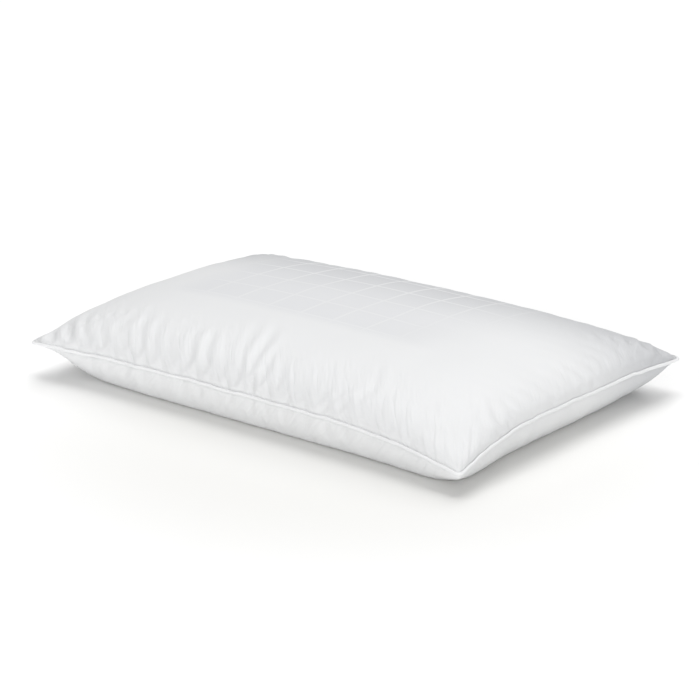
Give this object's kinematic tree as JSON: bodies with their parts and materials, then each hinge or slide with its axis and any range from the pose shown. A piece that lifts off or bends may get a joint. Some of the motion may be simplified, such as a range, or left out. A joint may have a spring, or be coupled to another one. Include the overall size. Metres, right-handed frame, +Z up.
{
  "type": "bed pillow",
  "caption": "Rectangular bed pillow with a crowned white cotton cover, piped knife-edge seam, loose fibre fill and a blank sewn-in care label.",
  "frame": {"origin": "middle of the footprint, on the surface that the pillow lies on", "axes": "+X along the long side to the right, +Y along the short side to the back, +Z up through the crown"},
  "size_m": [0.732, 0.4944, 0.105],
  "materials": {
    "cover_cloth": "matte",
    "piping_cloth": "matte",
    "piping_cord": "matte",
    "sewing_thread": "satin",
    "fibre_fill": "matte",
    "label_satin": "satin"
  },
  "bodies": {
    "pillow": {"upper_cover": "cover_cloth", "lower_cover": "cover_cloth", "piping_casing": "piping_cloth", "piping_cord": "piping_cord", "seam_needle_thread": "sewing_thread", "seam_bobbin_thread": "sewing_thread", "overlock_thread": "sewing_thread", "closing_thread": "sewing_thread", "fill": "fibre_fill", "care_label_tail": "label_satin"},
    "label": {"care_label": "label_satin"}
  },
  "joints": [
    {"name": "label_flap", "type": "hinge", "parent": "pillow", "child": "label", "pos_m": [-0.3535, 0.05, 0.04794], "axis": [0, 1, 0], "range_deg": [0, 85]}
  ]
}
